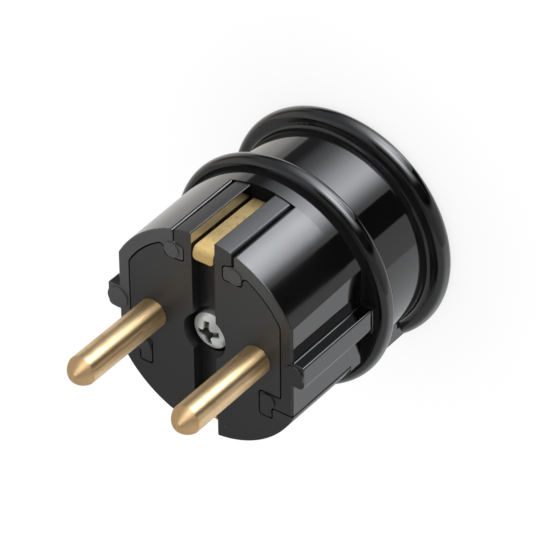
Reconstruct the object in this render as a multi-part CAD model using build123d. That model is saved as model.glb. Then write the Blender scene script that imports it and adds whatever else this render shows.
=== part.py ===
from build123d import *
import os
from math import cos, radians, sin, sqrt, tan

# Round earthed two-pin plug with a side cord entry, in millimetres.
# It stands on its closed rear face at z = 0, pins up, cord entry towards -Y.

# Body
body_height = 36.0              # rear face to front face
front_radius = 17.9             # at the front face
front_draft = 0.9               # degrees, wider towards the ring
window_depth = 14.7             # front face back to the ring that carries the ears
edge_round = 0.3                # rounding of the outer moulded edges
seam = 0.25                     # gap between the two mouldings
contact = 0.02                  # gap between pieces that rest on each other
thread_fit = 0.03               # gap round a screw in its thread

# Bead, grip neck and rear flange
bead_depth = 19.7               # front face back to the middle of the bead
roll_offset = 0.27              # centre circle of the bead and flange, out from the front radius
bead_tube = 1.6
bead_cove = 0.25
flange_tube = 1.7
neck_inset = 1.02               # neck, in from the rolls' centre circle
neck_cove = 1.02

# Side flats and guide ribs
flat_cut = 2.0                  # in from the front radius
flat_length = 18.0              # front face back to the ledge above the bead
flat_root_round = 0.1
rib_width = 4.2
rib_height = 2.05
rib_length = 16.9               # front face back to the cove that ends it
rib_upper_round = 0.3
rib_lower_round = 0.9
rib_front_round = 0.25
rib_root_round = 0.25

# Side ears, with hooked ends that hold the contact carrier
ear_wall = 2.0
ear_end = 5.4                   # upper end, from the middle plane
ear_low = -7.75                 # lower end
ear_end_round = 0.45
ear_corner_round = 1.6
toe_reach = 1.75                # upper hook, past the ear's end
toe_heel = 1.5
toe_depth = 2.75
toe_slope = 0.5
toe_root = 0.1                  # toe's top below the ear's inner wall
foot_reach = 3.9                # lower hook, inwards from the ear
foot_width = 2.05
foot_above = 2.25               # above the ear's lower end
foot_below = 1.95
hook_round = 0.45
toe_root_round = 0.85
foot_root_round = 0.55
foot_corner_round = 0.2

# Hood inside
rear_wall = 3.0
neck_wall = 2.15
seat_width = 0.7                # ledge under the carrier beside the flats

# Centre screw, its bush and post
screw_radius = 1.75
screw_length = 18.0
screw_clearance = 0.25
screw_head_radius = 3.05
screw_head_height = 2.5
screw_head_rim = 1.4            # up to the edge of its dome
recess_width = 1.0
recess_length = 3.9
recess_depth = 1.7
recess_root_round = 0.45
recess_turn = 9.0               # degrees
driver_slot_width = 0.9
driver_slot_depth = 0.8
bush_wall = 1.25
bush_length = 8.0
post_wall = 1.6
post_gap = 0.05                 # post to the strap's eye

# Cord entry
entry_radius = 4.5
entry_pad_thickness = 1.4
entry_spot_depth = 0.75
entry_rim = 1.0
entry_round = 0.5
entry_block_half = 12.5
entry_block_proud = 1.48        # block's surface, out from the rolls' centre circle

# Cord clamp
clamp_screw_radius = 1.5
clamp_screw_length = 7.0
clamp_screw_clearance = 0.15
clamp_head_radius = 2.5
clamp_head_height = 2.0
clamp_bush_wall = 0.6
clamp_bush_length = 6.0
clamp_boss_wall = 0.8
clamp_boss_merge = 0.3          # bosses into the hood's wall
clamp_rise = 4.15               # boss tops above the middle of the cord entry
clamp_cord_gap = 0.1            # bosses to the line of the entry
clamp_width = 5.0
clamp_thickness = 1.2
clamp_sag = 1.3                 # the middle lies lower than the ends
clamp_ramp = 1.4
clamp_relief = 0.15             # bosses to the lowered part

# Pins and their terminals
pin_spacing = 19.0
pin_radius = 2.4
pin_length = 19.0               # past the front face
pin_dome = 2.1
pin_dome_edge = 15.0            # degrees, from the pin's side
pin_tip_flat = 0.7
pin_shank_radius = 2.0
pin_shank_tail = 3.4            # length in the terminal
pin_fit = 0.03
terminal_radius = 3.4
terminal_length = 9.5
wire_hole_radius = 1.4
wire_hole_height = 3.6          # from the terminal's rear end
terminal_screw_radius = 1.5
terminal_screw_length = 3.0
terminal_head_radius = 2.75
terminal_head_height = 2.0

# Contact carrier
carrier_proud = 0.05            # its straight outside, out from the front radius
carrier_step = 0.1              # rear of its outer parts, ahead of the ring
strip_round = 0.55              # strips beside the upper slot, at the ears' ends
slot_round = 0.2
groove_half = 2.1
groove_depth = 2.0
counterbore_fit = 0.78          # round the screw head
counterbore_depth = 3.0

# Earth strap and its terminal
strap_width = 3.6
strap_thickness = 1.0
strap_inset = 2.4               # outer surface, in from the front radius
strap_hook = 2.1                # folded front end, inwards
strap_front_bend = 1.05
strap_rear_bend = 1.1
strap_tip_round = 0.6
strap_fit = 0.15
slot_side = 0.35                # beside the strap in its slot
slot_depth_gap = 0.3            # slot floor to the strap's end
eye_margin = 0.2
earth_clearance = 0.8           # earth screw's head to the post
earth_tab_radius = 3.1
earth_screw_radius = 1.75
earth_screw_tail = 1.4
earth_head_radius = 2.8
earth_head_height = 2.0
washer_width = 6.0
washer_thickness = 0.8
nut_width = 5.5
nut_thickness = 2.4
nut_fit = 0.05
nut_head_room = 0.1
earth_hole_fit = 0.3            # round the earth screw's end
earth_hole_run = 2.5            # past the nut

# Raised ejector marks on the hood's front
mark_rise = 0.2
toe_mark_radius = 1.3
toe_mark_out = 0.3              # from the ear's end
toe_mark_drop = 0.15            # from the middle of the toe
foot_mark_radius = 1.3
foot_mark_out = 0.35            # from the middle of the foot
foot_mark_rise = 0.9            # from the ear's lower end
rib_mark_radius = 1.8
rib_mark_out = 0.2              # from the flat

# Cutters and joins
far = 30.0                      # past every surface
margin = 1.0                    # cutters past the surface that they cut
overlap = 0.5                   # joined parts of a moulding into each other

# Derived places
window_z = body_height - window_depth
carrier_step_z = window_z + carrier_step
ring_radius = front_radius + window_depth * tan(radians(front_draft))
roll_radius = front_radius + roll_offset
neck_radius = roll_radius - neck_inset
bead_height = body_height - bead_depth
flat_offset = front_radius - flat_cut
flat_end_z = body_height - flat_length
rib_end_z = body_height - rib_length
rib_reach = flat_offset + rib_height
carrier_radius = front_radius + carrier_proud
ear_inner_radius = front_radius - ear_wall
ear_inner_flat = flat_offset - ear_wall
toe_top = sqrt(ear_inner_radius ** 2 - ear_end ** 2) - toe_root
cavity_radius = neck_radius - neck_wall
cavity_flat = ear_inner_flat - seat_width
bush_radius = screw_radius + bush_wall
post_radius = bush_radius + post_wall
screw_hole_radius = screw_radius + screw_clearance
screw_seat_z = body_height - counterbore_depth + contact
entry_height = (2 * flange_tube + bead_height - bead_tube) / 2
entry_pad = entry_pad_thickness - cavity_radius
entry_block_radius = roll_radius + entry_block_proud
entry_spot = entry_spot_depth - entry_block_radius
clamp_bush_radius = clamp_screw_radius + clamp_bush_wall
clamp_boss_radius = clamp_bush_radius + clamp_boss_wall
clamp_boss_top = entry_height + clamp_rise
clamp_x = entry_radius + clamp_cord_gap + clamp_boss_radius
clamp_y = -sqrt((cavity_radius + clamp_boss_merge - clamp_boss_radius) ** 2 - clamp_x ** 2)
clamp_shoulder = clamp_x - clamp_boss_radius - clamp_relief
clamp_middle = clamp_shoulder - clamp_ramp
pin_x = pin_spacing / 2
terminal_top = window_z - contact
terminal_z = terminal_top - terminal_length
wire_z = terminal_z + wire_hole_height
strap_front_z = window_z - contact
strap_z = strap_front_z - strap_thickness
strap_half_span = front_radius - strap_inset
strap_tip = strap_half_span - strap_hook
slot_half = strap_width / 2 + slot_side
slot_floor = strap_tip - slot_depth_gap
post_z = strap_z - post_gap
earth_y = post_radius + earth_clearance + earth_head_radius


def rod(radius, low, high, x=0.0, y=0.0):
    """Upright cylinder between two heights."""
    standing = (Align.CENTER, Align.CENTER, Align.MIN)
    return Pos(x, y, low) * Cylinder(radius, high - low, align=standing)


def block(x0, x1, y0, y1, z0, z1):
    """Box between six limits."""
    return Pos(x0, y0, z0) * Box(x1 - x0, y1 - y0, z1 - z0, align=(Align.MIN, Align.MIN, Align.MIN))


def area(x0, x1, y0, y1):
    """Flat rectangle between four limits."""
    return Pos(x0, y0) * Rectangle(x1 - x0, y1 - y0, align=(Align.MIN, Align.MIN))


def prism(section, low, high):
    """Upright solid from a flat section."""
    return extrude(Pos(0, 0, low) * section, high - low)


def corner(section, x, y):
    """Corner of a flat section nearest to a point."""
    return section.vertices().sort_by_distance((x, y, 0))[0]


def both_sides(shape):
    """A shape and its mirror image across the middle plane."""
    return shape + mirror(shape, Plane.YZ)


def cove(wall_radius, height, tube, radius, side):
    """Hollow between a straight wall and a roll: its points on the wall, midway and on the roll."""
    out = wall_radius + radius - roll_radius
    rise = sqrt((tube + radius) ** 2 - out ** 2)
    share = tube / (tube + radius)
    centre = Vector(wall_radius + radius, height + side * rise)
    on_wall = Vector(wall_radius, centre.Y)
    on_roll = Vector(roll_radius + out * share, height + side * rise * share)
    towards = ((on_wall + on_roll) * 0.5 - centre).normalized()
    return on_wall, centre + towards * radius, on_roll


def body_form():
    """Outer form that both mouldings share: flange, neck, bead and drafted front with its two flats."""
    flange_wall, flange_mid, flange_roll = cove(neck_radius, flange_tube, flange_tube, neck_cove, 1)
    low_wall, low_mid, low_roll = cove(neck_radius, bead_height, bead_tube, neck_cove, -1)
    high_wall, high_mid, high_roll = cove(ring_radius, bead_height, bead_tube, bead_cove, 1)
    flange_crest = (roll_radius + flange_tube, flange_tube)
    bead_crest = (roll_radius + bead_tube, bead_height)
    rear_edge = (roll_radius, 0)
    face_edge = (front_radius - edge_round, body_height)
    outline = Line((0, 0), rear_edge)
    outline += ThreePointArc(rear_edge, flange_crest, flange_roll)
    outline += ThreePointArc(flange_roll, flange_mid, flange_wall)
    outline += Line(flange_wall, low_wall)
    outline += ThreePointArc(low_wall, low_mid, low_roll)
    outline += ThreePointArc(low_roll, bead_crest, high_roll)
    outline += ThreePointArc(high_roll, high_mid, high_wall)
    outline += Line(high_wall, (ring_radius, window_z))
    outline += Line((ring_radius, window_z), (front_radius, body_height - edge_round))
    outline += RadiusArc((front_radius, body_height - edge_round), face_edge, -edge_round)
    outline += Line(face_edge, (0, body_height))
    outline += Line((0, body_height), (0, 0))
    form = revolve(Plane.XZ * make_face(outline), Axis.Z)

    # Each flat runs back to a ledge above the bead, and leaves the rib's end as it is.
    root_in = (flat_offset, flat_end_z + flat_root_round)
    root_out = (flat_offset + flat_root_round, flat_end_z)
    front_in = (flat_offset - edge_round - margin, body_height + margin)
    cutter = Line(front_in, (flat_offset, body_height - edge_round))
    cutter += Line((flat_offset, body_height - edge_round), root_in)
    cutter += RadiusArc(root_in, root_out, -flat_root_round)
    cutter += Polyline(root_out, (far, flat_end_z), (far, body_height + margin), front_in)
    flat = extrude(Plane.XZ * make_face(cutter), far, both=True)
    flat -= block(0, far, -rib_width / 2, rib_width / 2, 0, rib_end_z)
    return form - both_sides(flat)


def ear_section():
    """Section of the right ear with its upper toe and lower foot."""
    inside = Circle(ear_inner_radius) & area(-ear_inner_flat, ear_inner_flat, -far, far)
    inside = fillet(inside.vertices(), ear_corner_round)
    band = area(ear_end, far, ear_low, far) - inside

    toe_x = ear_end - toe_reach
    heel_x = ear_end + toe_heel
    toe_low = toe_top - toe_depth
    heel_root = sqrt(ear_inner_radius ** 2 - heel_x ** 2)
    toe = make_face(Polyline(
        (ear_end, toe_top), (toe_x, toe_top - toe_slope), (toe_x, toe_low),
        (heel_x, toe_low), (heel_x, toe_top + overlap), (ear_end, toe_top + overlap), close=True))
    toe_corners = [corner(toe, toe_x, toe_top - toe_slope), corner(toe, toe_x, toe_low)]
    toe = fillet(toe_corners + [corner(toe, heel_x, toe_low)], hook_round)

    foot_x = ear_inner_flat - foot_reach
    foot_top = ear_low + foot_above
    foot_low = ear_low - foot_below
    foot = area(foot_x, foot_x + foot_width, foot_low, foot_top)
    foot = fillet([corner(foot, foot_x, foot_top), corner(foot, foot_x, foot_low)], hook_round)
    foot = fillet(corner(foot, foot_x + foot_width, foot_low), foot_corner_round)
    foot += area(foot_x + foot_width / 2, ear_inner_flat + overlap, ear_low, foot_top)

    section = fillet(corner(band + toe + foot, heel_x, heel_root), toe_root_round)
    foot_roots = [corner(section, ear_inner_flat, foot_top), corner(section, foot_x + foot_width, ear_low)]
    return fillet(foot_roots, foot_root_round)


def slotted(head, width, depth, z, facing):
    """Cut a driver slot into a head whose outer end is at z and faces up (1) or down (-1)."""
    low = min(z, z - facing * depth)
    return head - block(-far, far, -width / 2, width / 2, low, low + depth)


def make_hood(form, ears):
    """Cup with the grip neck, the two hooked ears and the cord entry."""
    hood = form & rod(far, 0, window_z)
    entry_block = rod(entry_block_radius, flange_tube, bead_height)
    hood += entry_block & block(-entry_block_half, entry_block_half, -far, entry_pad / 2, 0, body_height)
    hollow = Circle(cavity_radius) & area(-cavity_flat, cavity_flat, entry_pad, far)
    hood -= prism(hollow, rear_wall, window_z)
    channel_half = strap_width / 2 + strap_fit
    channel_end = strap_half_span + strap_fit
    hood -= block(-channel_half, channel_half, -channel_end, channel_end, strap_z - strap_fit, window_z)
    standing = form & prism(ears, window_z, body_height)
    ends = standing.edges().filter_by(lambda edge: edge.length > window_depth / 2)
    ends = ends.filter_by(lambda edge: edge.center().Y > toe_top + overlap)
    hood += fillet(ends, ear_end_round)

    # Guide ribs, each with a rounded root on its flat
    rib = area(ear_inner_flat + overlap, rib_reach, -rib_width / 2, rib_width / 2)
    rib = fillet(corner(rib, rib_reach, rib_width), rib_upper_round)
    rib = fillet(corner(rib, rib_reach, -rib_width), rib_lower_round)
    rib_section = rib
    root = rib + area(ear_inner_flat + overlap, flat_offset, -rib_width, rib_width)
    root_corners = [corner(root, flat_offset, rib_width / 2), corner(root, flat_offset, -rib_width / 2)]
    root = prism(fillet(root_corners, rib_root_round), flat_end_z, body_height - edge_round)
    rib = prism(rib, flat_end_z, body_height)
    rib_front = rib.edges().group_by(Axis.Z)[-1].sort_by(Axis.X)[1:]
    hood += both_sides(root + fillet(rib_front, rib_front_round))

    # Centre post and clamp bosses
    hood += rod(post_radius, rear_wall / 2, post_z)
    hood -= rod(bush_radius + contact, post_z - bush_length - contact, post_z + margin)
    hood += both_sides(rod(clamp_boss_radius, rear_wall / 2, clamp_boss_top, clamp_x, clamp_y))
    clamp_hole_z = clamp_boss_top - clamp_bush_length - contact
    clamp_hole = rod(clamp_bush_radius + contact, clamp_hole_z, clamp_boss_top + margin, clamp_x, clamp_y)
    hood -= both_sides(clamp_hole)

    # Cord entry through the lower side
    sideways = Pos(0, 0, entry_height) * Rot(90, 0, 0)
    hood -= sideways * rod(entry_radius + entry_rim, -entry_spot, far)
    hood -= sideways * rod(entry_radius, -entry_pad - margin, far)
    mouth = hood.edges().filter_by(GeomType.CIRCLE)
    mouth = mouth.filter_by(lambda edge: abs(edge.radius - entry_radius) < 0.01)
    hood = fillet(mouth.sort_by(Axis.Y)[:1], entry_round)

    # Ejector marks
    toe_mark = Pos(ear_end + toe_mark_out, toe_top - toe_depth / 2 - toe_mark_drop) * Circle(toe_mark_radius)
    foot_mark_x = ear_inner_flat - foot_reach + foot_width / 2 + foot_mark_out
    foot_mark = Pos(foot_mark_x, ear_low + foot_mark_rise) * Circle(foot_mark_radius)
    rib_mark = Pos(flat_offset + rib_mark_out, 0) * Circle(rib_mark_radius)
    marks = (toe_mark + foot_mark + rib_mark) & (ears + rib_section)
    return hood + both_sides(prism(marks, body_height - margin, body_height + mark_rise))


def make_carrier(ears):
    """Insert that holds the pins and the earth strap, shaped to slide in between the hooked ears."""
    around = offset(ears, seam)
    slot = area(-slot_half, slot_half, slot_floor, far)
    section = Circle(carrier_radius) & area(-flat_offset, flat_offset, -far, far)
    section = section - both_sides(around) - slot - mirror(slot, Plane.XZ)
    slot_x = (-slot_half, slot_half)
    slot_y = (-carrier_radius, carrier_radius)
    slot_corners = [corner(section, x, y) for x in slot_x for y in slot_y]
    section = fillet(slot_corners, slot_round)
    strip_corners = [corner(section, x, carrier_radius) for x in (seam - ear_end, ear_end - seam)]
    section = fillet(strip_corners, strip_round)
    carrier = prism(section, window_z + contact, body_height)
    blank = rod(carrier_radius + edge_round / 2, 0, body_height)
    carrier = carrier & fillet(blank.edges().group_by(Axis.Z)[-1], edge_round)
    outer_rear = rod(far, window_z, carrier_step_z) - rod(ear_inner_radius - seam, window_z, carrier_step_z)
    carrier -= outer_rear

    # Front: groove, counterbore and pin holes
    front_end = body_height + margin
    carrier -= block(-groove_half, groove_half, -far, far, body_height - groove_depth, front_end)
    counterbore_radius = screw_head_radius + counterbore_fit
    carrier -= rod(counterbore_radius, body_height - counterbore_depth, front_end)
    carrier -= rod(screw_hole_radius, 0, body_height)
    carrier -= both_sides(rod(pin_shank_radius + pin_fit, 0, front_end, pin_x))

    # Rear: pocket of the earth terminal's nut
    nut_half = nut_width / 2 + nut_fit
    nut_top = strap_front_z + nut_thickness + nut_head_room
    carrier -= block(-nut_half, nut_half, earth_y - nut_half, earth_y + nut_half, 0, nut_top)
    carrier -= rod(earth_screw_radius + earth_hole_fit, 0, nut_top + earth_hole_run, 0, earth_y)
    return carrier


def make_pin(x):
    """Turned pin with a domed tip, shouldered on the carrier's face, and a shank down to its terminal."""
    tip_z = body_height + pin_length
    dome_z = tip_z - pin_dome
    shoulder_z = body_height + contact
    tail_z = terminal_top - pin_shank_tail
    outline = Polyline((0, tail_z), (pin_shank_radius, tail_z), (pin_shank_radius, shoulder_z),
                       (pin_radius, shoulder_z), (pin_radius, dome_z))
    dome_way = (-sin(radians(pin_dome_edge)), cos(radians(pin_dome_edge)))
    outline += TangentArc((pin_radius, dome_z), (pin_tip_flat, tip_z), tangent=dome_way)
    outline += Polyline((pin_tip_flat, tip_z), (0, tip_z), (0, tail_z))
    return Pos(x, 0, 0) * revolve(Plane.XZ * make_face(outline), Axis.Z)


def make_terminal(x):
    """Pillar terminal on the pin's shank, with a cross hole for the conductor."""
    terminal = rod(terminal_radius, terminal_z, terminal_top)
    shank_hole_z = terminal_top - pin_shank_tail - contact
    terminal -= rod(pin_shank_radius + thread_fit, shank_hole_z, terminal_top + margin)
    terminal -= Pos(0, 0, wire_z) * Rot(90, 0, 0) * Cylinder(wire_hole_radius, 2 * far)
    terminal -= rod(terminal_screw_radius + thread_fit, terminal_z - margin, wire_z)
    return Pos(x, 0, 0) * terminal


def make_terminal_screw(x):
    """Slotted screw that clamps a conductor in the pin's rear head."""
    seat = terminal_z - contact
    head = rod(terminal_head_radius, seat - terminal_head_height, seat)
    head = slotted(head, driver_slot_width, driver_slot_depth, seat - terminal_head_height, -1)
    return Pos(x, 0, 0) * (head + rod(terminal_screw_radius, seat, seat + terminal_screw_length))


def make_strap():
    """Folded earth strip: an arm in each slot, an eye at the centre screw and a terminal tab."""
    span = strap_half_span
    inner = span - strap_thickness
    outside = area(-span, span, strap_z, body_height)
    outside = fillet(outside.vertices().group_by(Axis.Y)[-1], strap_front_bend)
    outside = fillet(outside.vertices().group_by(Axis.Y)[0], strap_rear_bend)
    inside = area(-inner, inner, strap_front_z, body_height - strap_thickness)
    inside = fillet(inside.vertices().group_by(Axis.Y)[-1], strap_front_bend - strap_thickness)
    inside = fillet(inside.vertices().group_by(Axis.Y)[0], strap_rear_bend - strap_thickness)
    fold = outside - inside - area(-strap_tip, strap_tip, strap_front_z + margin, body_height + margin)
    strap = extrude(Plane.YZ * fold, strap_width / 2, both=True)
    upright = strap.edges().filter_by(Axis.Z)
    tips = upright.filter_by(lambda edge: abs(abs(edge.center().Y) - strap_tip) < contact)
    strap = fillet(tips, strap_tip_round)
    strap += rod(post_radius - eye_margin, strap_z, strap_front_z)
    strap += rod(earth_tab_radius, strap_z, strap_front_z, 0, earth_y)
    strap -= rod(screw_hole_radius, 0, body_height - counterbore_depth)
    return strap - rod(earth_screw_radius + thread_fit, 0, strap_front_z + margin, 0, earth_y)


def make_earth_washer():
    """Square clamp plate under the earth screw's head."""
    top = strap_z - contact
    half = washer_width / 2
    plate = block(-half, half, earth_y - half, earth_y + half, top - washer_thickness, top)
    return plate - rod(earth_screw_radius + thread_fit, 0, top + margin, 0, earth_y)


def make_earth_screw():
    """Slotted earth screw, driven from the rear into the square nut."""
    seat = strap_z - washer_thickness - 2 * contact
    head = rod(earth_head_radius, seat - earth_head_height, seat)
    head = slotted(head, driver_slot_width, driver_slot_depth, seat - earth_head_height, -1)
    length = washer_thickness + strap_thickness + nut_thickness + earth_screw_tail
    return Pos(0, earth_y, 0) * (head + rod(earth_screw_radius, seat, seat + length))


def make_earth_nut():
    """Square nut in the carrier's pocket, on the strap."""
    half = nut_width / 2
    low = strap_front_z + contact
    nut = block(-half, half, earth_y - half, earth_y + half, low, low + nut_thickness)
    return nut - rod(earth_screw_radius + thread_fit, 0, far, 0, earth_y)


def make_centre_screw():
    """Pan head screw with a cross recess."""
    top = screw_seat_z + screw_head_height
    dome_height = screw_head_height - screw_head_rim
    dome_radius = (screw_head_radius ** 2 + dome_height ** 2) / (2 * dome_height)
    head = rod(screw_head_radius, screw_seat_z, top) & Pos(0, 0, top - dome_radius) * Sphere(dome_radius)
    half = recess_width / 2
    cross = Rectangle(recess_length, recess_width) + Rectangle(recess_width, recess_length)
    roots = [corner(cross, x, y) for x in (-half, half) for y in (-half, half)]
    cross = Rot(0, 0, recess_turn) * fillet(roots, recess_root_round)
    head -= prism(cross, top - recess_depth, top + margin)
    return head + rod(screw_radius, screw_seat_z - screw_length, screw_seat_z)


def make_centre_bush():
    """Threaded bush in the hood's post."""
    bush = rod(bush_radius, post_z - bush_length, post_z)
    return bush - rod(screw_radius + thread_fit, 0, post_z + margin)


def make_clamp():
    """Saddle with a lowered middle, across the cord inside its entry."""
    low = clamp_boss_top + contact
    high = low + clamp_thickness
    reach = clamp_x + clamp_width
    outline = Polyline(
        (clamp_middle, low - clamp_sag), (clamp_shoulder, low), (reach, low), (reach, high),
        (clamp_shoulder, high), (clamp_middle, high - clamp_sag), (-clamp_middle, high - clamp_sag),
        (-clamp_shoulder, high), (-reach, high), (-reach, low), (-clamp_shoulder, low),
        (-clamp_middle, low - clamp_sag), close=True)
    bar = Pos(0, clamp_y, 0) * extrude(Plane.XZ * make_face(outline), clamp_width, both=True)
    plan = Pos(0, clamp_y) * SlotCenterToCenter(2 * clamp_x, clamp_width)
    bar = bar & prism(plan, 0, body_height)
    hole_radius = clamp_screw_radius + clamp_screw_clearance
    return bar - both_sides(rod(hole_radius, 0, body_height, clamp_x, clamp_y))


def make_clamp_screw(x):
    """Slotted screw through the saddle into its bush."""
    seat = clamp_boss_top + clamp_thickness + 2 * contact
    head = rod(clamp_head_radius, seat, seat + clamp_head_height)
    head = slotted(head, driver_slot_width, driver_slot_depth, seat + clamp_head_height, 1)
    return Pos(x, clamp_y, 0) * (head + rod(clamp_screw_radius, seat - clamp_screw_length, seat))


def make_clamp_bush(x):
    """Threaded bush in the hood's clamp boss."""
    bush = rod(clamp_bush_radius, clamp_boss_top - clamp_bush_length, clamp_boss_top, x, clamp_y)
    return bush - rod(clamp_screw_radius + thread_fit, 0, body_height, x, clamp_y)


form = body_form()
ears = ear_section()
pieces = {
    "hood": make_hood(form, both_sides(ears)),
    "contact_carrier": make_carrier(ears),
    "pin_left": make_pin(-pin_x),
    "pin_right": make_pin(pin_x),
    "terminal_left": make_terminal(-pin_x),
    "terminal_right": make_terminal(pin_x),
    "terminal_screw_left": make_terminal_screw(-pin_x),
    "terminal_screw_right": make_terminal_screw(pin_x),
    "earth_strap": make_strap(),
    "earth_washer": make_earth_washer(),
    "earth_screw": make_earth_screw(),
    "earth_nut": make_earth_nut(),
    "centre_screw": make_centre_screw(),
    "centre_bush": make_centre_bush(),
    "cord_clamp": make_clamp(),
    "cord_clamp_screw_left": make_clamp_screw(-clamp_x),
    "cord_clamp_screw_right": make_clamp_screw(clamp_x),
    "cord_clamp_bush_left": make_clamp_bush(-clamp_x),
    "cord_clamp_bush_right": make_clamp_bush(clamp_x),
}

os.makedirs("parts", exist_ok=True)
for name, piece in pieces.items():
    export_step(piece, "parts/" + name + ".step")
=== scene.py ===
from math import degrees, pi, radians

import bpy
from mathutils import Matrix, Vector


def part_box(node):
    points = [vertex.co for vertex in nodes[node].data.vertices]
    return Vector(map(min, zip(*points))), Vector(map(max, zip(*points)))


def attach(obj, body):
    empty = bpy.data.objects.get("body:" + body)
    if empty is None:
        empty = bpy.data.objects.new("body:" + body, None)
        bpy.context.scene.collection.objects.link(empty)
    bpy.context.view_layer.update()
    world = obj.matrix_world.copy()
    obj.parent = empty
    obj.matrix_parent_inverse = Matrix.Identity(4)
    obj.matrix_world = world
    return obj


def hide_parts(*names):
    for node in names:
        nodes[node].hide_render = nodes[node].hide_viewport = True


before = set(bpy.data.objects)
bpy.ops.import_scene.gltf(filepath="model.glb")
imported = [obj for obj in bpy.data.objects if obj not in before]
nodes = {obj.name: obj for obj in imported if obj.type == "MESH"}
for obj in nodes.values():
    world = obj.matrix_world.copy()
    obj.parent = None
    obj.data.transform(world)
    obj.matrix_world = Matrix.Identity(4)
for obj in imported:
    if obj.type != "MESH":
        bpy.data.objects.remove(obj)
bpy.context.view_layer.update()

mm = 0.001

# Places on the plug that its finishes follow, in millimetres
face_z = 36.0
face_edge_low = face_z - 0.22
face_edge_top = face_z - 0.06
ring_z = 21.3
ear_haze_low = ring_z - 1.5
ear_haze_top = ring_z + 7.0
flat_inside = 15.8
slot_side_in = 2.19
slot_side_out = 2.27
slot_floor = 13.15
slot_end = ring_z - 0.1
# Dull dark bands of painted shade at the feet of the bead and of the neck
bead_foot_low = 17.8
bead_foot_top = 18.95
bead_foot_soft = 0.12
bead_foot_radius = 18.5
neck_foot_low = 3.8
neck_foot_top = 4.42
neck_foot_soft = 0.1
neck_foot_radius = 18.2
# Pins: darker towards the face from tarnish and painted reflection, and a pale tip
pin_root_low = face_z + 0.5
pin_root_top = face_z + 8.0
pin_root_ragged = 6.0
pin_tip_low = 52.85
pin_tip_top = 52.95
# Earth strap: paler towards its front end
strap_front_low = 31.5
strap_front_top = 34.0
# Earth strap: painted light across its width, from darker left to lighter right
strap_light_from = -1.4
strap_light_to = 1.5

# Screws and bushes, in millimetres
centre_head_seat = 33.02
centre_head_radius = 3.05
centre_head_rim = 1.4
centre_head_dome = 1.1
recess_floor = centre_head_seat + 0.5
recess_reach = 0.5
# Painted shade in the centre recess, fading in with depth below the dome
recess_shade_top = 0.12
recess_shade_low = 0.55
shank_into_head = 0.4
shank_end_length = 0.5
shank_end_depth = 0.35
thread_depth = 0.18
thread_run_out = 0.8
edge_round = 0.09
under_seat = 0.02
weld_distance = 0.001

# Faces of the screws and bushes
crease = radians(32.0)
edge_steps = 2
head_sides = 56
head_rings = 8
shank_sides = 28
cross_arms = 4
arm_points = 3
root_steps = 5
bush_sides = 120
bush_rows = 40
bore_sides = 40

# Knurl of the bushes: heights are shares of the length, measured from the middle
knurl_from = 0.07
knurl_to = 0.46
knurl_slant = 6.0
knurl_sharpness = 4.0
groove_to = 0.06
groove_knurl_depths = 2.0

# Colours of the finishes and of the light
black_shade = (0.0050, 0.0050, 0.0054)
black_shine = (0.0082, 0.0080, 0.0082)
black_flat = (0.0015, 0.0015, 0.0018)
# Dull dark black of the painted shade bands, and of unpolished slots
dull_shade_dark = (0.0045, 0.0045, 0.0050)
dull_shade_pale = (0.0100, 0.0100, 0.0105)
dust_grey = (0.30, 0.30, 0.29)
pin_shade = (0.62, 0.43, 0.225)
pin_shine = (0.84, 0.62, 0.36)
pin_line = (0.36, 0.225, 0.085)
pin_tarnish = (0.42, 0.27, 0.11)
pin_tip = (0.82, 0.565, 0.29)
pin_root_tarnish_shade = (0.27, 0.17, 0.06)
strap_shade = (0.40, 0.295, 0.125)
strap_shine = (0.66, 0.49, 0.235)
strap_rolled = (0.50, 0.38, 0.175)
strap_front_pale = (0.84, 0.60, 0.25)
strap_spot = (0.27, 0.18, 0.065)
zinc_shade = (0.73, 0.75, 0.735)
zinc_shine = (0.88, 0.90, 0.885)
zinc_recess_shade = (0.13, 0.138, 0.13)
floor_shade = (0.25, 0.25, 0.25)
floor_shine = (0.27, 0.27, 0.27)
light_plain = (0.99, 1.0, 1.02)
light_cool = (0.972, 0.998, 1.045)
light_warm = (1.025, 1.0, 0.965)
white = (1.0, 1.0, 1.0)

# Gloss of the finishes, as roughness
face_gloss = 0.45
dull_shade_gloss = 0.8
pin_gloss = 0.33
strap_gloss = 0.55
zinc_gloss = 0.36

# Studio, in degrees: turns go from the plug's right side (0) to its top (90), its left side (180)
# and its cord entry (-90), and rises go up from level. Straight up and down lie past 90, so that a
# card's soft end hardly shows there
cord_wall_end = -17.5
right_card_start = 16.5
straight_down = -95.0
straight_up = 95.0
sweep_level = 0.80

# Floor: half its width in metres, and its glow to the camera
floor_half = 3.0
floor_glow = 0.77

# Camera of the photograph, in metres, with its lens and sensor in millimetres
camera_place = Vector((0.26869, 0.34423, 0.38002))
camera_back = Vector((0.4742, 0.6068, 0.6379))
camera_up = Vector((-0.3548, 0.7948, -0.4923))
camera_lens = 248.55
sensor_width = 36.0


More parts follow.
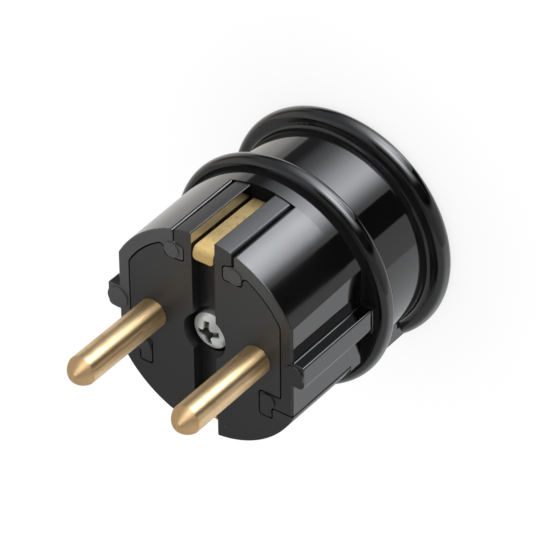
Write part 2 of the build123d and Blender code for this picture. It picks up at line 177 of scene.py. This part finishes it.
class Value:
    """Output socket of a node. Arithmetic on it adds Math nodes to the same tree."""

    def __init__(self, tree, node, socket):
        self.tree = tree
        self.node = node
        self.socket = socket

    def also(self, name):
        """Another output of the same node."""
        return Value(self.tree, self.node, self.node.outputs[name])

    def __add__(self, other):
        return self.tree.maths("ADD", self, other)

    def __radd__(self, other):
        return self.tree.maths("ADD", other, self)

    def __sub__(self, other):
        return self.tree.maths("SUBTRACT", self, other)

    def __rsub__(self, other):
        return self.tree.maths("SUBTRACT", other, self)

    def __mul__(self, other):
        return self.tree.maths("MULTIPLY", self, other)

    def __rmul__(self, other):
        return self.tree.maths("MULTIPLY", other, self)

    def __truediv__(self, other):
        return self.tree.maths("DIVIDE", self, other)

    def __rtruediv__(self, other):
        return self.tree.maths("DIVIDE", other, self)

    def __gt__(self, other):
        return self.tree.maths("GREATER_THAN", self, other)

    def __lt__(self, other):
        return self.tree.maths("LESS_THAN", self, other)

    def __abs__(self):
        return self.tree.maths("ABSOLUTE", self)

    def fraction(self):
        return self.tree.maths("FRACT", self)

    def at_least(self, other):
        return self.tree.maths("MAXIMUM", self, other)

    def swing(self, reach):
        """Value between 0 and 1 turned into a swing about 0."""
        return (self - 0.5) * reach


class Tree:
    """Node tree of a material, the world or a Geometry Nodes group."""

    def __init__(self, tree):
        self.tree = tree

    def add(self, kind, settings=None, sockets=None, out=0):
        """Add any node: its type, its settings, then the values or links of its sockets."""
        node = self.tree.nodes.new(kind)
        for name, value in (settings or {}).items():
            setattr(node, name, value)
        for name, value in (sockets or {}).items():
            self.feed(self.find(node.inputs, name), value)
        found = self.find(node.outputs, out) if node.outputs else None
        return Value(self, node, found)

    @staticmethod
    def find(sockets, key):
        """Socket by its number, its identifier or its name."""
        if isinstance(key, int):
            return sockets[key]
        return next(s for s in sockets if key in (s.identifier, s.name))

    def feed(self, socket, value):
        """Give a socket a link, several links, a colour or a plain value."""
        if isinstance(value, Value):
            self.tree.links.new(value.socket, socket)
        elif isinstance(value, list):
            for item in value:
                self.tree.links.new(item.socket, socket)
        elif socket.type == "RGBA" and len(value) == 3:
            socket.default_value = (*value, 1.0)
        else:
            socket.default_value = value

    def maths(self, operation, first, second=0.0):
        return self.add("ShaderNodeMath", {"operation": operation}, {0: first, 1: second})

    def axes(self, vector):
        """The x, y and z of a vector."""
        x = self.add("ShaderNodeSeparateXYZ", {}, {"Vector": vector}, "X")
        return x, x.also("Y"), x.also("Z")

    def mix(self, share, first, second, most=None):
        """Colour between two colours. The second takes at most the share that is given last."""
        share = share if most is None else share * most
        sockets = {"Factor_Float": share, "A_Color": first, "B_Color": second}
        return self.add("ShaderNodeMix", {"data_type": "RGBA"}, sockets, "Result_Color")

    def blend(self, value, none_at, full_at, none=0.0, full=1.0):
        """Smooth step of a value from one limit to the other."""
        sockets = {"Value": value, "From Min": none_at, "From Max": full_at,
                   "To Min": none, "To Max": full}
        return self.add("ShaderNodeMapRange", {"interpolation_type": "SMOOTHSTEP"}, sockets)

    def stretch(self, vector, scale):
        sockets = {"Vector": vector, "Vector_001": scale}
        return self.add("ShaderNodeVectorMath", {"operation": "MULTIPLY"}, sockets)

    def noise(self, vector, scale=1.0, detail=2.0, roughness=0.5):
        sockets = {"Vector": vector, "Scale": scale, "Detail": detail, "Roughness": roughness}
        return self.add("ShaderNodeTexNoise", {}, sockets, "Fac")

    def cells(self, vector, scale):
        return self.add("ShaderNodeTexVoronoi", {}, {"Vector": vector, "Scale": scale}, "Distance")

    def bump(self, height, depth, strength):
        """Normal from a height between 0 and 1, whose full depth is in metres."""
        sockets = {"Strength": strength, "Distance": depth, "Height": height}
        return self.add("ShaderNodeBump", {}, sockets)


class Group(Tree):
    """Geometry Nodes group with named inputs, which gives one finished shape."""

    def __init__(self, name, inputs):
        super().__init__(bpy.data.node_groups.new(name, "GeometryNodeTree"))
        sockets = self.tree.interface
        sockets.new_socket("Shape", in_out="OUTPUT", socket_type="NodeSocketGeometry")
        for title, kind in inputs.items():
            sockets.new_socket(title, in_out="INPUT", socket_type="NodeSocket" + kind)
        sockets.new_socket("Finish", in_out="INPUT", socket_type="NodeSocketMaterial")
        self.given = self.add("NodeGroupInput").also
        self.x, self.y, self.z = self.axes(self.add("GeometryNodeInputPosition"))

    def drum(self, radius, depth, sides, rows=1, rings=0):
        """Upright cylinder with its middle at the origin. Rings on its ends let them be domed."""
        sockets = {"Vertices": sides, "Side Segments": rows, "Radius": radius, "Depth": depth}
        if rings:
            sockets["Fill Segments"] = rings
        fill = "TRIANGLE_FAN" if rings else "NGON"
        return self.add("GeometryNodeMeshCylinder", {"fill_type": fill}, sockets)

    def moved(self, shape, x, y, z):
        """Shape with new places for its points."""
        place = self.add("ShaderNodeCombineXYZ", {}, {"X": x, "Y": y, "Z": z})
        return self.add("GeometryNodeSetPosition", {}, {"Geometry": shape, "Position": place})

    def united(self, shapes):
        settings = {"operation": "UNION", "solver": "EXACT"}
        return self.add("GeometryNodeMeshBoolean", settings, {"Mesh 2": shapes})

    def without(self, shape, cutter):
        settings = {"operation": "DIFFERENCE", "solver": "EXACT"}
        return self.add("GeometryNodeMeshBoolean", settings, {"Mesh 1": shape, "Mesh 2": [cutter]})

    def turned(self):
        """Share of a full turn round the upright axis."""
        return self.maths("ARCTAN2", self.y, self.x) / (2.0 * pi)

    def close(self, shape, lowest_soft_edge):
        """Mark the outer edges above a height to be rounded, and give the finished shape."""
        angle = self.add("GeometryNodeInputMeshEdgeAngle", out="Signed Angle")
        smooth = {"Geometry": shape, "Shade Smooth": 1.0 - (abs(angle) > crease)}
        shape = self.add("GeometryNodeSetShadeSmooth", {"domain": "EDGE"}, smooth)
        soft = (angle > crease) * (self.z > lowest_soft_edge)
        weight = {"Geometry": shape, "Name": "bevel_weight_edge", "Value": soft}
        settings = {"data_type": "FLOAT", "domain": "EDGE"}
        shape = self.add("GeometryNodeStoreNamedAttribute", settings, weight)
        shape = self.add("GeometryNodeRealizeInstances", {}, {"Geometry": shape})
        finish = {"Geometry": shape, "Material": self.given("Finish")}
        shape = self.add("GeometryNodeSetMaterial", {}, finish)
        self.add("NodeGroupOutput", {}, {"Shape": shape})


def screw_head(group):
    """Round head with its seat at z = 0, raised to a dome."""
    x, y, z = group.x, group.y, group.z
    radius = group.given("Head Radius")
    rim = group.given("Rim Height")
    inward = 1.0 - (x * x + y * y) / (radius * radius)
    dome = (z > 0.0) * group.given("Dome Height") * inward
    head = group.drum(radius, rim, head_sides, rings=head_rings)
    return group.moved(head, x, y, z + rim * 0.5 + dome)


def screw_shank(group):
    """Shank below the seat, with the thread cut into its nominal radius and a chamfered end."""
    length = group.given("Shank Length")
    radius = group.given("Shank Radius")
    into_head = shank_into_head * mm
    height = group.z + (into_head - length) * 0.5
    ridge = abs((height / group.given("Thread Pitch") - group.turned()).fraction() - 0.5) * 2.0
    threaded = group.blend(height, -thread_run_out * mm, -2.0 * thread_run_out * mm)
    chamfer = (1.0 - (height + length) / (shank_end_length * mm)).at_least(0.0)
    cut = thread_depth * mm * (1.0 - ridge) * threaded + shank_end_depth * mm * chamfer
    inwards = 1.0 - cut / radius
    shank = group.drum(radius, length + into_head, shank_sides, group.given("Thread Rows"))
    return group.moved(shank, group.x * inwards, group.y * inwards, height)


def driver_slot(group, top):
    """Cutter for a straight slot in the top of the head."""
    size = {"X": group.given("Driver Length"), "Y": group.given("Driver Width"),
            "Z": group.given("Driver Depth") * 2.0}
    size = group.add("ShaderNodeCombineXYZ", {}, size)
    slot = group.add("GeometryNodeMeshCube", {}, {"Size": size})
    return group.moved(slot, group.x, group.y, group.z + top)


def driver_cross(group, top):
    """Cutter for a cross in the top of the head, with rounded inner corners."""
    width = group.given("Driver Width") * 0.5
    reach = group.given("Driver Length") * 0.5
    depth = group.given("Driver Depth")
    index = group.add("GeometryNodeInputIndex")
    arm = group.maths("FLOOR", index / arm_points)
    step = index - arm * arm_points
    is_first = step < 0.5
    is_last = step > 1.5
    is_inner = (step > 0.5) * (step < 1.5)
    along = width + (reach - width) * is_first
    beside = width + (reach - width) * is_last
    angle = arm * (2.0 * pi / cross_arms) + group.given("Driver Turn")
    sine = group.maths("SINE", angle)
    cosine = group.maths("COSINE", angle)
    corners = {"Resolution": cross_arms * arm_points}
    outline = group.add("GeometryNodeCurvePrimitiveCircle", {}, corners)
    outline = group.moved(outline, along * cosine - beside * sine, along * sine + beside * cosine,
                          top - depth)
    rounding = {"Curve": outline, "Count": root_steps, "Radius": is_inner * group.given("Root Round")}
    outline = group.add("GeometryNodeFilletCurve", {"mode": "POLY"}, rounding)
    floor = group.add("GeometryNodeFillCurve", {"mode": "NGONS"}, {"Curve": outline})
    rise = group.add("ShaderNodeCombineXYZ", {}, {"Z": depth * 2.0})
    raised = {"Mesh": floor, "Offset": rise, "Individual": False}
    walls = group.add("GeometryNodeExtrudeMesh", {}, raised)
    underside = group.add("GeometryNodeFlipFaces", {}, {"Mesh": floor})
    cross = group.add("GeometryNodeJoinGeometry", {}, {"Geometry": [walls, underside]})
    welded = {"Geometry": cross, "Distance": weld_distance * mm}
    return group.add("GeometryNodeMergeByDistance", {}, welded)


def screw_group():
    """Screw with its seat at z = 0 and its head up: domed head, helical thread, slot or cross."""
    sizes = ["Shank Radius", "Shank Length", "Thread Pitch", "Head Radius", "Rim Height",
             "Dome Height", "Driver Width", "Driver Length", "Driver Depth", "Root Round",
             "Driver Turn"]
    inputs = {title: "Float" for title in sizes}
    inputs["Thread Rows"] = "Int"
    inputs["Cross Recess"] = "Bool"
    group = Group("threaded_screw", inputs)
    screw = group.united([screw_head(group), screw_shank(group)])
    top = group.given("Rim Height") + group.given("Dome Height")
    choice = {"Switch": group.given("Cross Recess"), "False": driver_slot(group, top),
              "True": driver_cross(group, top)}
    driver = group.add("GeometryNodeSwitch", {"input_type": "GEOMETRY"}, choice)
    group.close(group.without(screw, driver), -under_seat * mm)
    return group


def bush_group():
    """Upright bush with its lower end at z = 0: two knurled bands, a groove between, and a bore."""
    group = Group("knurled_bush", {"Outer Radius": "Float", "Bore Radius": "Float",
                                   "Length": "Float", "Knurl Count": "Int", "Knurl Depth": "Float"})
    x, y, z = group.x, group.y, group.z
    radius = group.given("Outer Radius")
    length = group.given("Length")
    around = group.turned() * group.given("Knurl Count")
    slant = z / length * knurl_slant
    left = abs((around + slant).fraction() - 0.5)
    right = abs((around - slant).fraction() - 0.5)
    line = (1.0 - knurl_sharpness * left).at_least(1.0 - knurl_sharpness * right).at_least(0.0)
    off_middle = abs(z) / length
    knurled = (off_middle > knurl_from) * (off_middle < knurl_to)
    groove = (off_middle < groove_to) * groove_knurl_depths
    inwards = 1.0 - group.given("Knurl Depth") * (line * knurled + groove) / radius
    height = z + length * 0.5
    body = group.drum(radius, length, bush_sides, bush_rows)
    body = group.moved(body, x * inwards, y * inwards, height)
    bore = group.drum(group.given("Bore Radius"), length * 2.0, bore_sides)
    bore = group.moved(bore, x, y, height)
    group.close(group.without(body, bore), length * 2.0)
    return group


def grow(name, group, node, finish, sizes, head_down=False):
    """Piece that a group makes from its sizes, in millimetres, in place of a node of the frame."""
    piece = bpy.data.objects.new(name, bpy.data.meshes.new(name))
    bpy.context.scene.collection.objects.link(piece)
    maker = piece.modifiers.new("sizes", "NODES")
    maker.node_group = group.tree
    for item in group.tree.interface.items_tree:
        if item.in_out == "INPUT" and item.name == "Finish":
            maker[item.identifier] = finish
        elif item.in_out == "INPUT":
            value = sizes[item.name]
            is_size = item.socket_type == "NodeSocketFloat" and item.name != "Driver Turn"
            maker[item.identifier] = value * mm if is_size else value
    edges = piece.modifiers.new("edges", "BEVEL")
    edges.limit_method = "WEIGHT"
    edges.width = edge_round * mm
    edges.segments = edge_steps
    depsgraph = bpy.context.evaluated_depsgraph_get()
    mesh = bpy.data.meshes.new_from_object(piece.evaluated_get(depsgraph), depsgraph=depsgraph)
    piece.modifiers.clear()
    piece.data = mesh

    # A screw is placed by the end of its shank, a bush by its lower end
    low, high = (Vector(corner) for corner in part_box(node))
    place = (low + high) * 0.5
    shank = sizes.get("Shank Length", 0.0) * mm
    place.z = high.z - shank if head_down else low.z + shank
    turn = Matrix.Rotation(pi if head_down else 0.0, 4, "X")
    mesh.transform(Matrix.Translation(place) @ turn)
    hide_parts(node)
    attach(piece, "root")


def new_material(name):
    """Empty material, its tree, and the place on the plug in millimetres."""
    material = bpy.data.materials.new(name)
    material.use_nodes = True
    material.node_tree.nodes.clear()
    tree = Tree(material.node_tree)
    place = {"Vector": tree.add("ShaderNodeTexCoord", out="Object"), "Scale": 1.0 / mm}
    place = tree.add("ShaderNodeVectorMath", {"operation": "SCALE"}, place)
    return material, tree, place


def principled(tree, **sockets):
    """Principled shader, with its sockets named by their words joined with _."""
    named = {name.replace("_", " "): value for name, value in sockets.items()}
    return tree.add("ShaderNodeBsdfPrincipled", {}, named)


def surface(tree, shader):
    """Make a shader the material's surface."""
    tree.add("ShaderNodeOutputMaterial", {}, {"Surface": shader})


def dust(tree, place, spacing, size, share):
    """Mask of tiny specks, one in some of the cells of a grid in millimetres."""
    cell = tree.cells(place, 1.0 / spacing)
    luck = tree.add("ShaderNodeSeparateColor", {}, {"Color": cell.also("Color")})
    near = cell < luck.also("Green") * (size / spacing)
    return near * (luck < share)


def moulded_black(name, wall_gloss, ear_gloss, slot_gloss, slot_polished, grit, light_fall_lean,
                  light_fall_from, light_fall_to, face_dark, face_pale):
    """Black phenolic moulding: glossy walls, hazier ears, a satin face with painted light, dull dark
    bands of painted shade, and dull or polished slots.
    """
    material, tree, place = new_material(name)
    x, y, z = tree.axes(place)
    across = x * x + y * y

    def shade_at_foot(low, top, soft, radius):
        """Mask of a dull dark band of painted shade at the foot of the bead or of the neck."""
        return tree.blend(z, top + soft, top - soft) * (z > low) * (across < radius ** 2)

    # Places on the moulding
    on_face = tree.blend(z, face_edge_low, face_edge_top)
    off_face = 1.0 - on_face
    on_flat = abs(x) > flat_inside
    on_ears = tree.blend(z, ear_haze_low, ear_haze_top) * (1.0 - on_flat)
    in_slot = tree.blend(abs(x), slot_side_out, slot_side_in) * off_face
    in_slot = in_slot * (abs(y) > slot_floor) * (z > slot_end)
    shade_at_bead = shade_at_foot(bead_foot_low, bead_foot_top, bead_foot_soft, bead_foot_radius)
    shade_at_neck = shade_at_foot(neck_foot_low, neck_foot_top, neck_foot_soft, neck_foot_radius)
    dull_and_shade = shade_at_bead.at_least(shade_at_neck)
    if not slot_polished:
        dull_and_shade = dull_and_shade.at_least(in_slot)

    # Colour: cloudy black, deeper on the flats, a grey face with painted light falling across it, and
    # some dust
    clouds = tree.noise(place, scale=0.22, detail=3.0)
    filler = tree.noise(place, scale=5.0, detail=3.0, roughness=0.6)
    specks = dust(tree, place, spacing=2.6, size=0.075, share=0.30)
    black = tree.mix(clouds, black_shade, black_shine)
    black = tree.mix(on_flat, black, black_flat, most=0.6)
    # Painted light: the face grows paler along a slant across it, with random tone on top
    face_light_and_tone = tree.blend(y + x * light_fall_lean, light_fall_from, light_fall_to) + clouds.swing(0.2) + filler.swing(0.2)
    grey = tree.mix(face_light_and_tone, (face_dark,) * 3, (face_pale,) * 3)
    colour = tree.mix(on_face, black, grey)
    colour = tree.mix(specks, colour, dust_grey, most=0.85)

    # Gloss: wiped along the walls, even in the slots
    wipes = tree.noise(tree.stretch(place, (0.35, 0.35, 0.06)), detail=3.0)
    gloss = wall_gloss + on_ears * (ear_gloss - wall_gloss) + wipes.swing(0.05)
    gloss = gloss * off_face + on_face * (face_gloss + filler.swing(0.12))
    gloss = gloss * (1.0 - in_slot) + slot_gloss * in_slot + specks * 0.5

    # Relief: slow ripple and grit on the walls, fine grain on the face
    grain = tree.noise(place, scale=7.0)
    ripple = tree.noise(place, scale=0.55)
    height = grain * on_face * 0.35 + (ripple + grain * grit) * off_face + specks
    normal = tree.bump(height, depth=0.012 * mm, strength=0.35)

    polished = principled(tree, Base_Color=colour, Roughness=gloss, IOR=1.6, Normal=normal,
                          Coat_Weight=in_slot if slot_polished else 0.0, Coat_Roughness=0.06,
                          Coat_IOR=1.8)
    # Dull dark finish: painted shade at the feet of the bead and neck, and the slots where they are not
    # polished
    dull_shade_colour = tree.mix(filler, dull_shade_dark, dull_shade_pale)
    dull = principled(tree, Base_Color=dull_shade_colour, Roughness=dull_shade_gloss, Specular_IOR_Level=0.04)
    both = {"Fac": dull_and_shade, "Shader": polished, "Shader_001": dull}
    surface(tree, tree.add("ShaderNodeMixShader", {}, both))
    return material


def turned_brass(name):
    """Turned brass of the pins: sheen round the pin, drawn lines, tarnish, a pale tip, and a root
    darkened by tarnish and painted reflection.
    """
    material, tree, place = new_material(name)
    z = tree.axes(place)[2]
    streak = tree.noise(tree.stretch(place, (3.2, 3.2, 0.35)), detail=4.0, roughness=0.6)
    lines = tree.noise(tree.stretch(place, (4.5, 4.5, 0.16)), detail=3.0, roughness=0.65)
    grain = tree.noise(place, scale=6.0, detail=3.0, roughness=0.6)
    drawn = tree.blend(lines, 0.56, 0.72)
    tarnish = tree.blend(tree.noise(place, scale=0.35, detail=4.0, roughness=0.6), 0.42, 0.72)
    on_tip = tree.blend(z, pin_tip_low, pin_tip_top)
    # Root: tarnish and a painted reflection of the black face darken the pin near the face
    root_tarnish_and_shade = tree.blend(z + streak.swing(pin_root_ragged), pin_root_top, pin_root_low)
    colour = tree.mix(streak, pin_shade, pin_shine)
    colour = tree.mix(drawn, colour, pin_line, most=0.28)
    colour = tree.mix(tarnish, colour, pin_tarnish, most=0.35)
    colour = tree.mix(on_tip, colour, pin_tip, most=0.6)
    colour = tree.mix(root_tarnish_and_shade, colour, pin_root_tarnish_shade, most=0.6)
    gloss = pin_gloss + grain.swing(0.08) + streak.swing(0.08) + tarnish * 0.05 + on_tip * 0.45
    normal = tree.bump(grain, depth=0.004 * mm, strength=0.3)
    surface(tree, principled(tree, Base_Color=colour, Metallic=0.74, Roughness=gloss, Normal=normal,
                             Anisotropic=1.0, Anisotropic_Rotation=0.25))
    return material


def rolled_brass(name):
    """Rolled brass of the earth strap, the terminals and the bushes: dull, spotted, paler in front,
    with painted light across the width.
    """
    material, tree, place = new_material(name)
    x, _, z = tree.axes(place)
    rolling = tree.noise(tree.stretch(place, (4.0, 0.5, 0.5)), detail=3.0, roughness=0.6)
    spots = tree.blend(tree.noise(place, scale=1.4, detail=4.0, roughness=0.7), 0.52, 0.70)
    patches = tree.noise(place, scale=0.8, detail=4.0, roughness=0.65)
    # Painted light across the strap: darker on its left, lighter on its right, half made of random
    # patches
    side = tree.blend(x, strap_light_from, strap_light_to) * 0.5 + patches * 0.5
    # Paler towards the front end, with fewer spots there
    front_pale = tree.blend(z, strap_front_low, strap_front_top)
    colour = tree.mix(side, strap_shade, strap_shine)
    colour = tree.mix(rolling, colour, strap_rolled, most=0.5)
    colour = tree.mix(front_pale, colour, strap_front_pale, most=0.8)
    colour = tree.mix(spots, colour, strap_spot, most=0.7 - front_pale * 0.4)
    gloss = strap_gloss + rolling.swing(0.16) + spots * 0.10
    normal = tree.bump(rolling, depth=0.014 * mm, strength=0.4)
    surface(tree, principled(tree, Base_Color=colour, Metallic=0.65, Roughness=gloss, Normal=normal))
    return material


def plated_steel(name):
    """Zinc plated steel of the screws and clamp: cloudy cool grey, with painted shade in the centre
    recess.
    """
    material, tree, place = new_material(name)
    x, y, z = tree.axes(place)
    outward = (x * x + y * y) / centre_head_radius ** 2
    dome = centre_head_seat + centre_head_rim + centre_head_dome * (1.0 - outward)
    in_recess = (outward < recess_reach) * (z > recess_floor)
    # Painted shade: darker deeper down in the centre screw's cross recess
    recess_shade = tree.blend(dome - z, recess_shade_top, recess_shade_low) * in_recess
    clouds = tree.noise(place, scale=1.3, detail=4.0, roughness=0.6)
    grain = tree.noise(place, scale=9.0)
    colour = tree.mix(clouds, zinc_shade, zinc_shine)
    colour = tree.mix(recess_shade, colour, zinc_recess_shade)
    gloss = zinc_gloss + grain.swing(0.14) + clouds.swing(0.10)
    normal = tree.bump(grain, depth=0.008 * mm, strength=0.4)
    surface(tree, principled(tree, Base_Color=colour, Metallic=0.6, Roughness=gloss, Normal=normal))
    return material


def studio_world():
    """White surroundings with a soft box, a lamp and black cards, which only reflections see."""
    world = bpy.data.worlds.new("studio")
    world.use_nodes = True
    world.node_tree.nodes.clear()
    world.cycles.sampling_method = "NONE"
    tree = Tree(world.node_tree)
    x, y, z = tree.axes(tree.add("ShaderNodeTexCoord", out="Generated"))
    turn = tree.maths("ARCTAN2", y, x) * degrees(1.0)
    rise = tree.maths("ARCSINE", z) * degrees(1.0)

    def span(value, start, end, soft):
        """Share of a value between two limits with soft ends."""
        return tree.blend(value, start - soft, start + soft) * tree.blend(value, end + soft, end - soft)

    def card(turns, rises, soft):
        """Share of a card between two turns and two rises, with soft sides and soft ends."""
        return span(turn, *turns, soft[0]) * span(rise, *rises, soft[1])

    # White sweep, lighter and darker in places, and dimmer overhead
    by_cord = turn < cord_wall_end
    cord_wall = 0.30 * tree.blend(turn, -112.0, -45.0) * by_cord
    cord_glow = 0.45 * card(turns=(-85.0, -20.0), rises=(-34.0, -2.0), soft=(14.0, 10.0))
    left_glow = 0.42 * tree.blend(turn, -130.0, -175.0) * tree.blend(rise, -12.0, -28.0)
    left_strip = 0.48 * card(turns=(161.0, 184.0), rises=(straight_down, -17.0), soft=(6.0, 6.0))
    left_shade = 0.50 * card(turns=(143.0, 178.0), rises=(-9.0, 7.0), soft=(8.0, 6.0))
    corner_shade = 0.30 * card(turns=(104.0, 150.0), rises=(-30.0, 42.0), soft=(10.0, 10.0))
    right_low_shade = 0.10 * card(turns=(cord_wall_end, right_card_start),
                                  rises=(straight_down, 0.0), soft=(0.5, 4.0))
    right_high_shade = 0.40 * card(turns=(cord_wall_end, 60.0),
                                   rises=(0.0, straight_up), soft=(0.5, 22.0))
    sweep = sweep_level + cord_wall + cord_glow + left_glow + left_strip
    sweep = sweep - left_shade - right_low_shade - right_high_shade - corner_shade
    cord_dimming = 0.42 * by_cord * tree.blend(rise, -8.0, 22.0)
    sweep = sweep * (1.0 - cord_dimming) * tree.blend(rise, 82.0, 45.0, none=0.25)

    # Tall soft box at the plug's top side with a brighter strip low in it, and a lamp at its middle
    box = 5.5 * tree.blend(turn, 48.0, 78.0) * tree.blend(turn, 122.5, 67.5)
    box = box * tree.blend(rise, 36.0, -34.0) * tree.blend(rise, -62.0, -44.0, none=0.5)
    box = box + 3.2 * card(turns=(56.0, 84.0), rises=(-39.2, -28.0), soft=(6.0, 2.3))
    lamp = 7.0 * tree.blend(turn, 36.0, 61.0) * tree.blend(turn, 96.0, 68.0)
    lamp = lamp * tree.blend(rise, -28.0, -4.0) * tree.blend(rise, 30.0, 4.0)

    # Black cards: two on the right of the box, one above it, one on its left, and one overhead
    black = card(turns=(right_card_start, 46.5), rises=(straight_down, -28.0), soft=(1.0, 5.0))
    high_card = card(turns=(right_card_start, 39.0), rises=(-28.0, 50.0), soft=(4.0, 6.0))
    top_card = card(turns=(34.0, 92.0), rises=(38.0, 60.0), soft=(8.0, 6.0))
    left_card = 0.86 * card(turns=(100.0, 150.0), rises=(-62.0, -20.0), soft=(2.0, 6.0))
    left_card = left_card * tree.blend(turn, 117.0, 138.0)
    overhead_card = card(turns=(-200.0, -62.0), rises=(47.0, straight_up), soft=(14.0, 5.0))
    for other in (high_card, top_card, left_card, overhead_card):
        black = black.at_least(other)
    level = (sweep + box + lamp) * (1.0 - black)

    # Cool light from the box, warm light from the left
    cool = tree.blend(turn, 40.0, 60.0) * tree.blend(turn, 150.0, 130.0)
    warm = tree.blend(abs(turn), 146.0, 160.0)
    tint = tree.mix(cool, light_plain, light_cool)
    tint = tree.mix(warm, tint, light_warm)

    # Plain white for the camera and for diffuse light
    ray = tree.add("ShaderNodeLightPath", out="Is Camera Ray")
    plain = ray.at_least(ray.also("Is Diffuse Ray"))
    sockets = {"Color": tree.mix(plain, tint, white), "Strength": level + plain * (1.0 - level)}
    shader = tree.add("ShaderNodeBackground", {}, sockets)
    tree.add("ShaderNodeOutputWorld", {}, {"Surface": shader})
    bpy.context.scene.world = world


def pale_floor():
    """Wide floor that stays white to the camera and keeps the plug's soft shadow."""
    mesh = bpy.data.meshes.new("floor")
    corners = [(-floor_half, -floor_half, 0.0), (floor_half, -floor_half, 0.0),
               (floor_half, floor_half, 0.0), (-floor_half, floor_half, 0.0)]
    mesh.from_pydata(corners, [], [(0, 1, 2, 3)])
    floor = bpy.data.objects.new("floor", mesh)
    bpy.context.scene.collection.objects.link(floor)
    material, tree, place = new_material("pale_floor")
    colour = tree.mix(tree.noise(place, scale=0.02), floor_shade, floor_shine)
    ray = tree.add("ShaderNodeLightPath", out="Is Camera Ray")
    matt = tree.add("ShaderNodeBsdfDiffuse", {}, {"Color": colour})
    glow = tree.add("ShaderNodeEmission", {}, {"Color": white, "Strength": ray * floor_glow})
    surface(tree, tree.add("ShaderNodeAddShader", {}, {0: matt, 1: glow}))
    mesh.materials.append(material)
    floor.visible_glossy = False


def photo_camera():
    """Camera at the photograph's viewing angle."""
    data = bpy.data.cameras.new("camera")
    data.lens = camera_lens
    data.sensor_width = sensor_width
    camera = bpy.data.objects.new("camera", data)
    bpy.context.scene.collection.objects.link(camera)
    back = camera_back.normalized()
    right = camera_up.cross(back).normalized()
    up = back.cross(right)
    turn = Matrix((right, up, back)).transposed().to_4x4()
    camera.matrix_world = Matrix.Translation(camera_place) @ turn
    bpy.context.scene.camera = camera


hood_black = moulded_black(
    "hood_black", wall_gloss=0.05, ear_gloss=0.13, slot_gloss=0.80, slot_polished=False, grit=0.0,
    light_fall_lean=-0.5, light_fall_from=-6.0, light_fall_to=14.0, face_dark=0.014, face_pale=0.062)
carrier_black = moulded_black(
    "carrier_black", wall_gloss=0.30, ear_gloss=0.40, slot_gloss=0.08, slot_polished=True, grit=5.0,
    light_fall_lean=0.35, light_fall_from=-16.0, light_fall_to=14.0, face_dark=0.010, face_pale=0.030)
pin_brass = turned_brass("pin_brass")
strap_brass = rolled_brass("strap_brass")
screw_zinc = plated_steel("screw_zinc")

finishes = {
    hood_black: ["hood"],
    carrier_black: ["contact_carrier"],
    pin_brass: ["pin_left", "pin_right"],
    strap_brass: ["earth_strap", "terminal_left", "terminal_right", "centre_bush",
                  "cord_clamp_bush_left", "cord_clamp_bush_right"],
    screw_zinc: ["centre_screw", "terminal_screw_left", "terminal_screw_right", "earth_screw",
                 "earth_washer", "earth_nut", "cord_clamp", "cord_clamp_screw_left",
                 "cord_clamp_screw_right"],
}
for finish, names in finishes.items():
    for name in names:
        for slot in nodes[name].material_slots:
            slot.material = finish

# Sizes of the screws and bushes, in millimetres
centre_screw = {
    "Shank Radius": 1.75, "Shank Length": 18.0, "Thread Pitch": 0.6, "Thread Rows": 190,
    "Head Radius": centre_head_radius, "Rim Height": centre_head_rim,
    "Dome Height": centre_head_dome, "Cross Recess": True, "Driver Width": 1.0,
    "Driver Length": 3.9, "Driver Depth": 1.7, "Root Round": 0.45, "Driver Turn": radians(9.0)}
slotted_screw = {
    "Shank Radius": 1.5, "Thread Pitch": 0.5, "Rim Height": 1.7, "Dome Height": 0.3,
    "Cross Recess": False, "Driver Width": 0.9, "Driver Length": 8.0, "Driver Depth": 0.8,
    "Root Round": 0.0, "Driver Turn": 0.0}
terminal_screw = slotted_screw | {"Shank Length": 3.0, "Head Radius": 2.75, "Thread Rows": 36}
earth_screw = slotted_screw | {"Shank Radius": 1.75, "Shank Length": 5.6, "Head Radius": 2.8,
                               "Thread Pitch": 0.6, "Thread Rows": 60}
clamp_screw = slotted_screw | {"Shank Length": 7.0, "Head Radius": 2.5, "Thread Rows": 84}
post_bush = {"Outer Radius": 3.0, "Bore Radius": 1.78, "Length": 8.0, "Knurl Count": 20,
             "Knurl Depth": 0.16}
saddle_bush = {"Outer Radius": 2.1, "Bore Radius": 1.53, "Length": 6.0, "Knurl Count": 16,
               "Knurl Depth": 0.12}

screws = screw_group()
grow("centre_fixing_screw", screws, "centre_screw", screw_zinc, centre_screw)
grow("earth_terminal_screw", screws, "earth_screw", screw_zinc, earth_screw,
     head_down=True)
for side in ("left", "right"):
    grow("wire_screw_" + side, screws, "terminal_screw_" + side, screw_zinc,
         terminal_screw, head_down=True)
    grow("saddle_screw_" + side, screws, "cord_clamp_screw_" + side, screw_zinc,
         clamp_screw)

bushes = bush_group()
grow("post_bush", bushes, "centre_bush", strap_brass, post_bush)
for side in ("left", "right"):
    grow("saddle_bush_" + side, bushes, "cord_clamp_bush_" + side, strap_brass,
         saddle_bush)

studio_world()
pale_floor()
photo_camera()
bpy.context.scene.view_settings.view_transform = "Standard"
